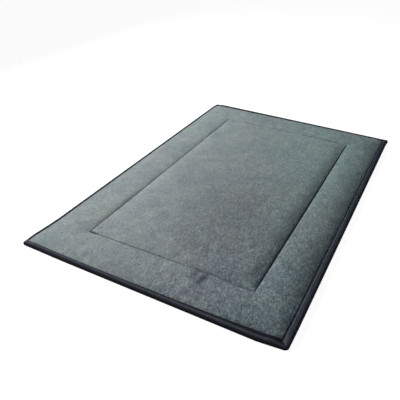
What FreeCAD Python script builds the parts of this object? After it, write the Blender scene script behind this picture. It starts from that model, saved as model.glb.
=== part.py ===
import FreeCAD, Part
import collections
import math
import os
import Sketcher

# Disinfection mat: a foam core between a felt cover and a coated base sheet, quilted
# by one rectangular seam and bound all round with a folded tape that is mitred at the
# corners. Millimetres; +Z up, +Y along the mat; the origin is the middle of the
# underside, on the floor. The mat lies flat, as it is used.

# Driving sizes. A thickness is that of the sheet itself, and the foam's is given where
# it is loose, under the quilting seam and inside the bound rim.
SIZES = (
    ("mat_width", "600"),
    ("mat_length", "900"),
    ("seam_inset", "100"),
    ("stitch_width", "2"),
    ("foam_thickness", "18"),
    ("foam_at_seam", "10"),
    ("foam_at_rim", "6"),
    ("felt_thickness", "2.5"),
    ("base_thickness", "1.2"),
    ("tape_thickness", "1.2"),
    ("tape_flange", "13"),
    ("border_fall", "43"),
    ("field_rise", "36"),
    ("hem_run", "4"),
    ("groove_height", "1.5"),
    ("groove_run", "10"),
)

# Places worked out from the driving sizes. The section of the mat is drawn at its back
# edge: names that end in _at are distances from the middle of the mat, and names that
# end in _level are heights above the floor.
LAYOUT = (
    ("edge_at", "Sizes.mat_length / 2"),
    ("tape_inside_at", "edge_at - Sizes.tape_thickness"),
    ("felt_fold_at", "tape_inside_at - Sizes.felt_thickness"),
    ("base_fold_at", "tape_inside_at - Sizes.base_thickness"),
    ("flange_at", "edge_at - Sizes.tape_flange"),
    ("hem_at", "flange_at - Sizes.hem_run"),
    ("seam_at", "edge_at - Sizes.seam_inset"),
    ("outer_stitch_at", "seam_at + Sizes.stitch_width / 2"),
    ("inner_stitch_at", "seam_at - Sizes.stitch_width / 2"),
    ("outer_groove_at", "outer_stitch_at + Sizes.groove_run"),
    ("inner_groove_at", "inner_stitch_at - Sizes.groove_run"),
    ("crest_at", "outer_stitch_at + Sizes.border_fall"),
    ("field_at", "inner_stitch_at - Sizes.field_rise"),
    ("floor_level", "0"),
    ("base_level", "Sizes.base_thickness"),
    ("hem_level", "Sizes.tape_thickness"),
    ("hem_top_level", "hem_level + Sizes.base_thickness"),
    ("groove_level", "Sizes.groove_height"),
    ("groove_top_level", "groove_level + Sizes.base_thickness"),
    ("rim_foam_level", "hem_top_level + Sizes.foam_at_rim"),
    ("rim_felt_level", "rim_foam_level + Sizes.felt_thickness"),
    ("rim_level", "rim_felt_level + Sizes.tape_thickness"),
    ("seam_foam_level", "groove_top_level + Sizes.foam_at_seam"),
    ("seam_level", "seam_foam_level + Sizes.felt_thickness"),
    ("foam_level", "base_level + Sizes.foam_thickness"),
    ("top_level", "foam_level + Sizes.felt_thickness"),
    ("rim_drop", "top_level - rim_felt_level"),
    ("seam_drop", "top_level - seam_level"),
    ("edge_radius", "((flange_at - crest_at) ^ 2 + rim_drop ^ 2) / (2 * rim_drop)"),
    ("fall_radius", "(Sizes.border_fall ^ 2 + seam_drop ^ 2) / (2 * seam_drop)"),
    ("rise_radius", "(Sizes.field_rise ^ 2 + seam_drop ^ 2) / (2 * seam_drop)"),
    ("foam_edge_at", "crest_at + sqrt(2 * (edge_radius - Sizes.felt_thickness) * rim_drop - rim_drop ^ 2)"),
    ("foam_fall_at", "crest_at - sqrt(2 * (fall_radius - Sizes.felt_thickness) * seam_drop - seam_drop ^ 2)"),
    ("foam_rise_at", "field_at + sqrt(2 * (rise_radius - Sizes.felt_thickness) * seam_drop - seam_drop ^ 2)"),
    ("half_width", "Sizes.mat_width / 2"),
    ("half_length", "Sizes.mat_length / 2"),
    ("half_field_width", "half_width - (half_length - field_at)"),
    ("half_field_length", "field_at"),
)

# How a stretch of an outline goes on to the next corner. Each arc runs level at one end.
LINE = "straight"
LEVEL_FIRST = "arc, level at its first corner"
LEVEL_LAST = "arc, level at its last corner"

TOP_COVER = (
    ("tape_inside_at", "rim_foam_level", LEVEL_LAST),
    ("felt_fold_at", "rim_felt_level", LINE),
    ("flange_at", "rim_felt_level", LEVEL_LAST),
    ("crest_at", "top_level", LEVEL_FIRST),
    ("outer_stitch_at", "seam_level", LINE),
    ("inner_stitch_at", "seam_level", LEVEL_LAST),
    ("field_at", "top_level", LINE),
    ("field_at", "foam_level", LEVEL_FIRST),
    ("foam_rise_at", "seam_foam_level", LINE),
    ("foam_fall_at", "seam_foam_level", LEVEL_LAST),
    ("crest_at", "foam_level", LEVEL_FIRST),
    ("foam_edge_at", "rim_foam_level", LINE),
)

FOAM_CORE = (
    ("tape_inside_at", "hem_top_level", LINE),
    ("tape_inside_at", "rim_foam_level", LINE),
    ("foam_edge_at", "rim_foam_level", LEVEL_LAST),
    ("crest_at", "foam_level", LEVEL_FIRST),
    ("foam_fall_at", "seam_foam_level", LINE),
    ("foam_rise_at", "seam_foam_level", LEVEL_LAST),
    ("field_at", "foam_level", LINE),
    ("field_at", "base_level", LINE),
    ("inner_groove_at", "base_level", LINE),
    ("inner_stitch_at", "groove_top_level", LINE),
    ("outer_stitch_at", "groove_top_level", LINE),
    ("outer_groove_at", "base_level", LINE),
    ("hem_at", "base_level", LINE),
    ("flange_at", "hem_top_level", LINE),
)

BASE_SHEET = (
    ("tape_inside_at", "hem_top_level", LINE),
    ("flange_at", "hem_top_level", LINE),
    ("hem_at", "base_level", LINE),
    ("outer_groove_at", "base_level", LINE),
    ("outer_stitch_at", "groove_top_level", LINE),
    ("inner_stitch_at", "groove_top_level", LINE),
    ("inner_groove_at", "base_level", LINE),
    ("field_at", "base_level", LINE),
    ("field_at", "floor_level", LINE),
    ("inner_groove_at", "floor_level", LINE),
    ("inner_stitch_at", "groove_level", LINE),
    ("outer_stitch_at", "groove_level", LINE),
    ("outer_groove_at", "floor_level", LINE),
    ("hem_at", "floor_level", LINE),
    ("flange_at", "hem_level", LINE),
    ("base_fold_at", "hem_level", LEVEL_FIRST),
)

EDGE_BINDING = (
    ("flange_at", "floor_level", LINE),
    ("base_fold_at", "floor_level", LEVEL_FIRST),
    ("edge_at", "hem_top_level", LINE),
    ("edge_at", "rim_foam_level", LEVEL_LAST),
    ("felt_fold_at", "rim_level", LINE),
    ("flange_at", "rim_level", LINE),
    ("flange_at", "rim_felt_level", LINE),
    ("felt_fold_at", "rim_felt_level", LEVEL_FIRST),
    ("tape_inside_at", "rim_foam_level", LINE),
    ("tape_inside_at", "hem_top_level", LEVEL_LAST),
    ("base_fold_at", "hem_level", LINE),
    ("flange_at", "hem_level", LINE),
)

# The two sides that are drawn, each with a twin across the mat: the back edge, and the
# right edge, whose section is the same one, turned and moved to the mat's half width.
Side = collections.namedtuple("Side", "name turn shift length outward ground")
BACK = Side(
    name="back",
    turn=FreeCAD.Rotation(FreeCAD.Vector(1, 1, 1), 120),
    shift="0",
    length="Sizes.mat_width",
    outward=FreeCAD.Vector(0, 1, 0),
    ground=(
        ("half_width", "half_length", (-1, 1)),
        ("half_field_width", "half_field_length", (-1, 1)),
        ("half_field_width", "half_field_length", (1, 1)),
        ("half_width", "half_length", (1, 1)),
    ),
)
RIGHT = Side(
    name="right",
    turn=FreeCAD.Rotation(FreeCAD.Vector(1, 0, 0), 90),
    shift="Layout.half_width - Layout.half_length",
    length="Sizes.mat_length",
    outward=FreeCAD.Vector(1, 0, 0),
    ground=(
        ("half_width", "half_length", (1, 1)),
        ("half_field_width", "half_field_length", (1, 1)),
        ("half_field_width", "half_field_length", (1, -1)),
        ("half_width", "half_length", (1, -1)),
    ),
)


def make_sheet(doc, name, rows, prefix):
    """A spreadsheet with one named value in each row."""
    sheet = doc.addObject("Spreadsheet::Sheet", name)
    for row, (alias, content) in enumerate(rows, start=1):
        sheet.set(f"A{row}", alias)
        sheet.set(f"B{row}", prefix + content)
        sheet.setAlias(f"B{row}", alias)
    doc.recompute()
    return sheet


def new_sketch(doc, name, turn):
    """A sketch turned from the floor plane to the plane that it is drawn on."""
    sketch = doc.addObject("Sketcher::SketchObject", name)
    sketch.Placement = FreeCAD.Placement(FreeCAD.Vector(0, 0, 0), turn)
    return sketch


def add_stretch(sketch, first, last, kind):
    """A line or an arc between two corners, with its index and the numbers of its ends."""
    if kind == LINE:
        return sketch.addGeometry(Part.LineSegment(first, last), False), 1, 2
    level, other = (first, last) if kind == LEVEL_FIRST else (last, first)
    drop = level.y - other.y
    radius = (level.distanceToPoint(other) ** 2) / (2 * drop)
    centre = FreeCAD.Vector(level.x, level.y - radius, 0)
    start = math.atan2(first.y - centre.y, first.x - centre.x)
    end = math.atan2(last.y - centre.y, last.x - centre.x)
    anticlockwise = (end - start) % (2 * math.pi) < math.pi
    angles = (start, end) if anticlockwise else (end, start)
    circle = Part.Circle(centre, FreeCAD.Vector(0, 0, 1), abs(radius))
    index = sketch.addGeometry(Part.ArcOfCircle(circle, *angles), False)
    return (index, 1, 2) if anticlockwise else (index, 2, 1)


def hold(sketch, kind, index, end, value, formula):
    """Hold one end of a curve at a named distance from the sketch's origin."""
    number = sketch.addConstraint(Sketcher.Constraint(kind, -1, 1, index, end, value))
    sketch.setExpression(f"Constraints[{number}]", formula)


def draw_outline(sketch, layout, corners):
    """A closed outline whose corners are all held at places of the layout sheet."""
    points = []
    for across, level, kind in corners:
        points.append(FreeCAD.Vector(layout.get(across), layout.get(level), 0))
    stretches = []
    for number, (across, level, kind) in enumerate(corners):
        following = points[(number + 1) % len(points)]
        stretches.append(add_stretch(sketch, points[number], following, kind))
    for number, (across, level, kind) in enumerate(corners):
        index, first_end, last_end = stretches[number]
        next_index, next_first_end, next_last_end = stretches[(number + 1) % len(corners)]
        joint = Sketcher.Constraint("Coincident", index, last_end, next_index, next_first_end)
        sketch.addConstraint(joint)
        hold(sketch, "DistanceX", index, first_end, points[number].x, f"Layout.{across}")
        hold(sketch, "DistanceY", index, first_end, points[number].y, f"Layout.{level}")
        if kind != LINE:
            level_end = first_end if kind == LEVEL_FIRST else last_end
            sketch.addConstraint(Sketcher.Constraint("Vertical", index, 3, index, level_end))


def draw_mitre(sketch, layout, corners):
    """The ground that one side covers, with a slanting end at each mitre."""
    points = []
    for across, along, sign in corners:
        points.append(FreeCAD.Vector(sign[0] * layout.get(across), sign[1] * layout.get(along), 0))
    for number, point in enumerate(points):
        following = points[(number + 1) % len(points)]
        sketch.addGeometry(Part.LineSegment(point, following), False)
    for number, (across, along, sign) in enumerate(corners):
        following = (number + 1) % len(points)
        sketch.addConstraint(Sketcher.Constraint("Coincident", number, 2, following, 1))
        hold(sketch, "DistanceX", number, 1, points[number].x, f"Layout.{across} * {sign[0]}")
        hold(sketch, "DistanceY", number, 1, points[number].y, f"Layout.{along} * {sign[1]}")


def extrude(doc, name, sketch, length):
    """A solid that reaches half the length to each side of its sketch."""
    solid = doc.addObject("Part::Extrusion", name)
    solid.Base = sketch
    solid.DirMode = "Normal"
    solid.Symmetric = True
    solid.Solid = True
    solid.setExpression("LengthFwd", length)
    return solid


def make_mitre(doc, layout, side):
    """The block that trims one side's layers to their mitres."""
    sketch = new_sketch(doc, f"{side.name}_mitre_outline", FreeCAD.Rotation())
    draw_mitre(sketch, layout, side.ground)
    return extrude(doc, f"{side.name}_mitre", sketch, "4 * Layout.top_level")


def make_side(doc, name, layout, corners, side, mitre):
    """One side of a layer, trimmed to its mitres, and its twin across the mat."""
    section = new_sketch(doc, f"{name}_{side.name}_section", side.turn)
    section.setExpression("Placement.Base.x", side.shift)
    draw_outline(section, layout, corners)
    strip = extrude(doc, f"{name}_{side.name}_strip", section, side.length)
    trimmed = doc.addObject("Part::Common", f"{name}_{side.name}")
    trimmed.Base = strip
    trimmed.Tool = mitre
    twin = doc.addObject("Part::Mirroring", f"{name}_{side.name}_twin")
    twin.Source = trimmed
    twin.Normal = side.outward
    return [trimmed, twin]


def make_field(doc, name, bottom, thickness):
    """The level middle of a layer, inside its four sides."""
    field = doc.addObject("Part::Box", f"{name}_field")
    field.setExpression("Length", "2 * Layout.half_field_width")
    field.setExpression("Width", "2 * Layout.half_field_length")
    field.setExpression("Height", thickness)
    field.setExpression("Placement.Base.x", "-Layout.half_field_width")
    field.setExpression("Placement.Base.y", "-Layout.half_field_length")
    field.setExpression("Placement.Base.z", bottom)
    return field


def make_layer(doc, name, layout, corners, mitres):
    """The four mitred sides of a layer, as a list of solids still to be joined."""
    pieces = []
    for side, mitre in mitres:
        pieces += make_side(doc, name, layout, corners, side, mitre)
    return pieces


def join(doc, name, pieces):
    """One solid of the pieces, whose label names its file."""
    solid = doc.addObject("Part::MultiFuse", name)
    solid.Label = name
    solid.Shapes = pieces
    solid.Refine = True
    solid.Placement = FreeCAD.Placement()
    return solid


def make_top_cover(doc, layout, mitres):
    """The felt cover: one sheet, crowned on both sides of the seam that pinches it."""
    pieces = make_layer(doc, "cover", layout, TOP_COVER, mitres)
    pieces.append(make_field(doc, "cover", "Layout.foam_level", "Sizes.felt_thickness"))
    return join(doc, "top_cover", pieces)


def make_foam_core(doc, layout, mitres):
    """The foam slab, pressed thin under the seam and inside the bound rim."""
    pieces = make_layer(doc, "foam", layout, FOAM_CORE, mitres)
    pieces.append(make_field(doc, "foam", "Layout.base_level", "Sizes.foam_thickness"))
    return join(doc, "foam_core", pieces)


def make_base_sheet(doc, layout, mitres):
    """The coated base sheet, drawn up a little by the seam and over the tape's lower flange."""
    pieces = make_layer(doc, "base", layout, BASE_SHEET, mitres)
    pieces.append(make_field(doc, "base", "Layout.floor_level", "Sizes.base_thickness"))
    return join(doc, "base_sheet", pieces)


def make_edge_binding(doc, layout, mitres):
    """The tape folded over the edge of all three layers, mitred at the corners."""
    return join(doc, "edge_binding", make_layer(doc, "tape", layout, EDGE_BINDING, mitres))


def check(doc, sub_parts):
    """Stop if any object has failed or any sub-part is not one sound solid."""
    for item in doc.Objects:
        if "Invalid" in item.State or "Error" in item.State:
            raise RuntimeError(f"{item.Name} failed: {item.State}")
    for body in sub_parts:
        if body.Shape.isNull() or not body.Shape.isValid():
            raise RuntimeError(f"{body.Label} has no valid shape")
        if len(body.Shape.Solids) != 1:
            raise RuntimeError(f"{body.Label} is not one solid")


def main():
    doc = FreeCAD.newDocument("disinfection_mat")
    make_sheet(doc, "Sizes", SIZES, "")
    layout = make_sheet(doc, "Layout", LAYOUT, "=")
    mitres = [(side, make_mitre(doc, layout, side)) for side in (BACK, RIGHT)]
    sub_parts = [
        make_top_cover(doc, layout, mitres),
        make_foam_core(doc, layout, mitres),
        make_base_sheet(doc, layout, mitres),
        make_edge_binding(doc, layout, mitres),
    ]
    doc.recompute()
    check(doc, sub_parts)
    os.makedirs("parts", exist_ok=True)
    for body in sub_parts:
        body.Shape.exportStep(f"parts/{body.Label}.step")
        box = body.Shape.BoundBox
        print(f"{body.Label}: {body.Shape.Volume / 1000:.1f} cm3, {len(body.Shape.Faces)} faces, "
              f"{box.XLength:.1f} x {box.YLength:.1f} x {box.ZLength:.1f} mm")


main()
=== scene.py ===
import math
from collections import namedtuple

import bpy
import numpy as np
from mathutils import Matrix, Vector


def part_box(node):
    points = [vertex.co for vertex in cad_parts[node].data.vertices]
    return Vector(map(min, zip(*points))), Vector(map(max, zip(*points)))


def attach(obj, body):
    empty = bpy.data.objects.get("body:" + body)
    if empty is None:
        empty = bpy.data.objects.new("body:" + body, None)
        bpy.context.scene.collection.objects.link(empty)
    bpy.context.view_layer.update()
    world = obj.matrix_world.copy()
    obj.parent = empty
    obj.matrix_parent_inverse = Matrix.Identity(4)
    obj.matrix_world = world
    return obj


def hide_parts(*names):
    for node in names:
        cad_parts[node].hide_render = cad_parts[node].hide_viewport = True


bl_info = {
    "name": "Disinfection Mat",
    "version": (1, 0, 0),
    "blender": (4, 5, 0),
    "location": "3D Viewport > Sidebar > Mat",
    "description": "Dresses a quilted disinfection mat: felt, foam, base sheet, binding and stitches",
    "category": "Object",
}

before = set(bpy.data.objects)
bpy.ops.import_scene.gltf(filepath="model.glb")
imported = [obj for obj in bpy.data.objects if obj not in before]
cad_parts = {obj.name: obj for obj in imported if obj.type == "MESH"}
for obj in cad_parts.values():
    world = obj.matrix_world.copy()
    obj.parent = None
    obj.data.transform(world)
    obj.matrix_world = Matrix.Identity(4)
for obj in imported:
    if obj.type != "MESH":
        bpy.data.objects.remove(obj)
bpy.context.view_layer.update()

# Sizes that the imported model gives, in metres. The mat is centred on the origin and lies on z = 0.
HALF_WIDTH, HALF_LENGTH, RIM_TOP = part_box("edge_binding")[1]
COVER_LOW, COVER_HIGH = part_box("top_cover")
COVER_TOP = COVER_HIGH.z
TAPE_THICKNESS = HALF_WIDTH - COVER_HIGH.x
MM = 0.001

# How widely a slope turns the corners of the mat: on the padded felt, and close to the tape
SOFT_CORNER = 0.022
SHARP_CORNER = 0.006

# The tape: its own wall, the mean width of its flange over the felt, the radius of its fold over the
# upper edge, how far its side puffs out, and the length and the overlap of its mitres
TAPE_WALL = 0.92 * TAPE_THICKNESS
TAPE_FOLD = 0.0042
TAPE_PUFF = 0.0010
MITRE_ZONE = 0.03
MITRE_OVERLAP = 0.7 * MM
# Its stitches: their distance from the sewn edge, where their rows start, and how deep they pull the
# upper and the lower flange
STITCH_INSET = 0.0022
STITCH_START = 0.009
UPPER_DENT = 0.45 * MM
LOWER_DENT = 0.7 * MM

# Swells of the foam, and puckers beside the seam and the rim: heights and lengths of their waves.
# Under the binding the felt is held flat.
SWELL = 0.35 * MM
SWELL_WAVES = ((0.31, 0.19), (0.43, 0.23))
PUCKER = 0.3 * MM
SEAM_WAVES = (0.017, 0.023, 0.031)
RIM_WAVES = (0.021, 0.034, 0.047)
BINDING_GRIP = 0.008

# Each corner's side and end, its outline's radius, how far its tip is pressed, where it is pulled and
# how far along the edges the pull is felt
CORNERS = (
    (-1.0, -1.0, 0.0025, 0.25, (-0.0078, 0.0016), 0.1),
    (1.0, -1.0, 0.0065, 0.42, (-0.0010, 0.0060), 0.06),
    (1.0, 1.0, 0.0015, 0.05, (0.0018, 0.0004), 0.016),
    (-1.0, 1.0, 0.0040, 0.20, (0.0, 0.0), 0.1),
)
CORNER_PRESS = 0.032
# How far the cut sheets reach past their nominal size at the front, right, back and left
EDGE_SPREAD = (0.0007, 0.0004, 0.0018, 0.0017)

# Patches of painted light and shade, partly also patchy nap; the darker ones in the front half are painted
# shadow of boots that are not modelled. Each has its middle, reach and change of shade
PAINTED_LIGHT_PATCHES = (
    ((-0.10, -0.24), (0.10, 0.14), 0.15),
    ((0.03, -0.16), (0.10, 0.12), -0.20),
    ((0.05, -0.40), (0.20, 0.07), 0.10),
    ((0.288, -0.390), (0.030, 0.080), 0.25),
    ((0.135, 0.260), (0.045, 0.170), 0.10),
    ((0.020, -0.300), (0.022, 0.022), -0.18),
    ((0.105, -0.295), (0.020, 0.026), -0.18),
    ((0.232, -0.260), (0.014, 0.110), -0.14),
    ((-0.200, -0.120), (0.070, 0.050), 0.10),
    ((0.050, 0.330), (0.050, 0.100), 0.12),
    ((0.210, 0.260), (0.012, 0.110), 0.15),
)
# The darker places around the slanted mark at the front: middle, reach and strength
DARK_MARKS = (
    ((0.075, -0.373), (0.008, 0.014), 0.8),
    ((0.082, -0.357), (0.022, 0.004), 0.35),
)

# The cloth that settles over the foam: its cells' size, how far in from the edge it is held, how many
# frames it takes and its largest move. Once settled, it is kept for the foam.
DRAPE_CELL = 0.0065
DRAPE_HOLD = 0.014
DRAPE_FRAMES = 20
DRAPE_LIMIT = 0.0005
settled = {}


def length_setting(name, description, default, low, high):
    """A length that a user can change."""
    return bpy.props.FloatProperty(
        name=name, description=description, default=default, min=low, max=high, unit="LENGTH")


def width_setting(name, ends, default):
    """The binding's width over the felt at three places, which a user can change."""
    return bpy.props.FloatVectorProperty(
        name=name, description="Width over the felt at its " + ends, default=default, size=3,
        min=0.005, max=0.03, unit="LENGTH")


def colour_setting(name, description, default, high=1.0):
    """A colour that a user can change."""
    return bpy.props.FloatVectorProperty(
        name=name, description=description, default=default, size=3, min=0.0, max=high, subtype="COLOR")


class MatSizes(bpy.types.PropertyGroup):
    """Sizes of the sewn mat."""

    seam_inset: length_setting("Seam inset", "From the mat's edge to the quilting seam", 0.1, 0.05, 0.2)
    seam_shift: bpy.props.FloatVectorProperty(
        name="Seam shift", description="How far the seam's rectangle is sewn off the mat's middle",
        default=(-0.0010, -0.0070), size=2, min=-0.01, max=0.01, unit="LENGTH")
    seam_depth: length_setting("Seam depth", "How far the seam pulls the felt down", 0.0062, 0.0, 0.015)
    seam_crease: length_setting("Seam crease", "How deep the thread cuts into the felt", 0.0016, 0.0, 0.002)
    border_sag: length_setting(
        "Border sag", "How much lower the left border is than the right one", 0.0050, 0.0, 0.008)
    field_sag: length_setting(
        "Field sag", "How much lower the field is at its left side", 0.0035, 0.0, 0.008)
    border_width: length_setting("Border crest", "From the edge to the border's crest", 0.056, 0.03, 0.08)
    border_fall: length_setting("Border fall", "From the border's crest to the seam", 0.044, 0.005, 0.06)
    field_rise: length_setting("Field rise", "From the seam to the level field", 0.037, 0.005, 0.08)
    felt_thickness: length_setting("Felt thickness", "Thickness of the felt cover", 0.0025, 0.001, 0.005)
    base_thickness: length_setting(
        "Base thickness", "Thickness of the coated base sheet", 0.0012, 0.0005, 0.003)
    flange_width: length_setting(
        "Flange width", "How far the binding reaches in under the base sheet", 0.013, 0.008, 0.03)
    front_flange: width_setting("Front flange", "left end, middle and right end", (0.0076, 0.0079, 0.0133))
    right_flange: width_setting("Right flange", "front end, middle and back end", (0.0155, 0.0140, 0.0130))
    back_flange: width_setting("Back flange", "right end, middle and left end", (0.0165, 0.0160, 0.0160))
    left_flange: width_setting("Left flange", "back end, middle and front end", (0.0052, 0.0052, 0.0050))
    bead: length_setting("Bead", "How far the fold puffs up over its sewn edge", 0.0010, 0.0, 0.003)
    groove_depth: length_setting("Underside groove", "How far the seam lifts the base", 0.0015, 0.0, 0.003)
    groove_run: length_setting("Groove run", "Half the width of that groove", 0.011, 0.003, 0.02)
    hem_run: length_setting(
        "Hem run", "How soon the base sheet comes down to the floor inside the binding", 0.004, 0.001, 0.01)
    quilt_stitch: length_setting("Quilting stitch", "Pitch of the quilting stitches", 0.005, 0.002, 0.01)
    binding_stitch: length_setting("Binding stitch", "Pitch of the binding stitches", 0.004, 0.002, 0.01)
    thread: length_setting("Thread", "Diameter of the sewing thread", 0.0006, 0.0002, 0.002)


class MatColours(bpy.types.PropertyGroup):
    """Colours of the mat's materials and of its floor."""

    felt_light: colour_setting("Light fibres", "Colour of the felt's light fibres", (0.30, 0.335, 0.335))
    felt_dark: colour_setting("Dark fibres", "Colour of the felt's dark fibres", (0.055, 0.066, 0.074))
    damp_tint: colour_setting(
        "Damp tint", "What dampness makes of the felt's colour", (0.87, 1.04, 0.99), 2.0)
    rough_tint: colour_setting(
        "Rough tint", "What a rough nap makes of the felt's colour", (0.97, 0.97, 1.08), 2.0)
    # Colour of the painted shade in the seam's crease and beside the tape, also used for the dark mark at
    # the front
    painted_shade_and_marks: colour_setting("Painted shade and marks", "What dirt makes of the felt's colour", (0.16, 0.16, 0.24))
    tape: colour_setting("Tape", "Colour of the woven binding tape", (0.0050, 0.0055, 0.0095))
    # Colour of the painted highlight on the tape's top and bead
    highlight_tape: colour_setting("Tape highlight", "Colour of the tape where its highlight is painted", (0.250, 0.285, 0.370))
    base: colour_setting("Base sheet", "Colour of the coated base sheet", (0.03, 0.03, 0.034))
    foam: colour_setting("Foam", "Colour of the foam core", (0.35, 0.34, 0.31))
    quilt_thread: colour_setting("Quilting thread", "Colour of the quilting thread", (0.09, 0.10, 0.11))
    floor: colour_setting("Floor", "Colour of the studio floor", (0.25, 0.25, 0.25))


# Shapes shared by the layers


def smooth_min(first, second, blend):
    """The smaller of two distances, rounded where they are nearly the same."""
    share = np.clip(0.5 + 0.5 * (second - first) / blend, 0.0, 1.0)
    return second * (1.0 - share) + first * share - blend * share * (1.0 - share)


def smooth_step(value, low, high):
    """A soft change from 0 to 1 between two values."""
    share = np.clip((value - low) / (high - low), 0.0, 1.0)
    return share * share * (3.0 - 2.0 * share)


def nearness(distance, reach):
    """1 at a place, and evenly less until 0 at its reach."""
    return np.clip(1.0 - distance / reach, 0.0, 1.0)


def ridge(distance, width):
    """1 along a line, fading out softly on both sides of it."""
    return np.exp(-(distance / width) ** 2)


def patches(x, y, table):
    """The sum of soft round patches, each with its middle, its reach along X and Y and its strength."""
    return sum(strength * ridge(x - middle[0], reach[0]) * ridge(y - middle[1], reach[1])
               for middle, reach, strength in table)


def level_arc(distance, run, drop):
    """How far an arc has fallen at a distance from its level end."""
    radius = (run**2 + drop**2) / (2.0 * drop)
    return radius - np.sqrt(radius**2 - np.clip(distance, 0.0, run)**2)


def waves(position, lengths):
    """A gentle uneven line, made of waves whose lengths don't fit each other."""
    return sum(np.sin(2.0 * math.pi * position / length + 1.7 * number * number + 0.6)
               for number, length in enumerate(lengths)) / len(lengths)


def edge_distance(x, y, blend):
    """Distance in from the mat's outline."""
    return smooth_min(HALF_WIDTH - np.abs(x), HALF_LENGTH - np.abs(y), blend)


def seam_distances(x, y, sizes, blend):
    """Distances out of and into the seam's rectangle, the other one being nought."""
    across = HALF_WIDTH - sizes.seam_inset - np.abs(x - sizes.seam_shift[0])
    along = HALF_LENGTH - sizes.seam_inset - np.abs(y - sizes.seam_shift[1])
    outside = np.hypot(np.minimum(across, 0.0), np.minimum(along, 0.0))
    inside = np.maximum(smooth_min(across, along, blend), 0.0)
    return outside, np.where(outside > 0.0, 0.0, inside)


def seam_line_distance(x, y, sizes):
    """Distance from the seam's line of stitches, on either side of it."""
    return sum(seam_distances(x, y, sizes, 0.0005))


def rim_lift(x, y):
    """How much thicker the rim is than its nominal size: the left and back edges are pressed less."""
    return MM * np.clip(0.4 - 0.7 * x / HALF_WIDTH + 0.7 * y / HALF_LENGTH, -0.4, 1.8)


def field_top(x, sizes):
    """Height of the field inside the seam: trodden flatter at the left."""
    return COVER_TOP - sizes.field_sag * (1.0 - smooth_step(x, -0.22, 0.10))


def border_crest(x, sizes):
    """Height of the border's crest: trodden flatter at the left, nearly full at the right."""
    return COVER_TOP - 0.5 * MM - sizes.border_sag * (1.0 - smooth_step(x, -0.26, 0.20))


def seam_level(x, y, sizes):
    """Height of the felt at the stitches: pulled down most along the right, and less at the corners."""
    # A fifth of the pull at the left, all of it at the right, and less again towards the back
    pinch = 0.2 + 0.8 * smooth_step(x, 0.10, 0.18) * (1.0 - 0.42 * smooth_step(y, 0.0, 0.3))
    corner_away = np.hypot(np.abs(x - sizes.seam_shift[0]) - HALF_WIDTH + sizes.seam_inset,
                           np.abs(y - sizes.seam_shift[1]) - HALF_LENGTH + sizes.seam_inset)
    pinch *= 1.0 - 0.4 * nearness(corner_away, 0.05) ** 2
    return np.minimum(field_top(x, sizes), border_crest(x, sizes)) - sizes.seam_depth * pinch


def felt_height(x, y, sizes):
    """Height of the felt's upper face: a pad pressed down along its rim and along the seam."""
    edge = edge_distance(x, y, SOFT_CORNER)
    outside, inside = seam_distances(x, y, sizes, 0.02)
    crest = np.where(outside > 0.0, border_crest(x, sizes), field_top(x, sizes))
    rim = RIM_TOP - TAPE_THICKNESS + rim_lift(x, y)
    height = crest - level_arc(sizes.border_width - edge, sizes.border_width - 0.007, crest - rim)
    depth = crest - seam_level(x, y, sizes)
    outer, inner = (level_arc(run - away, run - MM, depth)
                    for run, away in ((sizes.border_fall, outside), (sizes.field_rise, inside)))
    height -= np.where(outside > 0.0, outer, inner)
    # The thread's crease is deeper at the sides, and wider at the left, where the border slopes to it
    side = smooth_step(np.abs(x - sizes.seam_shift[0]), 0.17, 0.19)
    left = smooth_step(-x, 0.17, 0.20) * (outside > 0.0)
    crease = nearness(seam_line_distance(x, y, sizes), 2.0 * MM + 0.013 * left) ** (1.0 + left)
    return height - sizes.seam_crease * (0.5 + 0.5 * side + 0.35 * left) * crease


def felt_unevenness(x, y, sizes):
    """Slow swells of the foam and small puckers that the stitches draw into the felt."""
    swell = SWELL * (waves(x + 0.35 * y, SWELL_WAVES[0]) + waves(y - 0.25 * x, SWELL_WAVES[1]))
    outside, inside = seam_distances(x, y, sizes, 0.012)
    near = outside + inside
    from_side = np.abs(np.abs(x) - (HALF_WIDTH - sizes.seam_inset))
    from_end = np.abs(np.abs(y) - (HALF_LENGTH - sizes.seam_inset))
    along = np.where(from_side < from_end, y, x) + 0.3 * (outside - inside)
    pucker = PUCKER * waves(along, SEAM_WAVES) * ridge(near, 0.011) * np.clip(near / 0.003, 0.0, 1.0)
    edge = edge_distance(x, y, SOFT_CORNER)
    rim_along = np.where(HALF_WIDTH - np.abs(x) < HALF_LENGTH - np.abs(y), y, x) - 0.2 * edge
    rim_reach = np.clip((edge - BINDING_GRIP) / 0.006, 0.0, 1.0) * ridge(edge, 0.035)
    free = np.clip((edge - BINDING_GRIP) / 0.02, 0.0, 1.0) * np.clip(near / 0.02, 0.0, 1.0)
    return swell * free + pucker + PUCKER * waves(rim_along, RIM_WAVES) * rim_reach


def base_height(x, y, sizes):
    """Height of the base sheet's lower face: on the floor, lifted over the tape and by the seam."""
    edge = np.minimum(HALF_WIDTH - np.abs(x), HALF_LENGTH - np.abs(y))
    hem = TAPE_THICKNESS * np.clip((sizes.flange_width + sizes.hem_run - edge) / sizes.hem_run, 0.0, 1.0)
    away = sum(seam_distances(x, y, sizes, SHARP_CORNER))
    return hem + sizes.groove_depth * smooth_step(nearness(away, sizes.groove_run), 0.0, 1.0)


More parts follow.
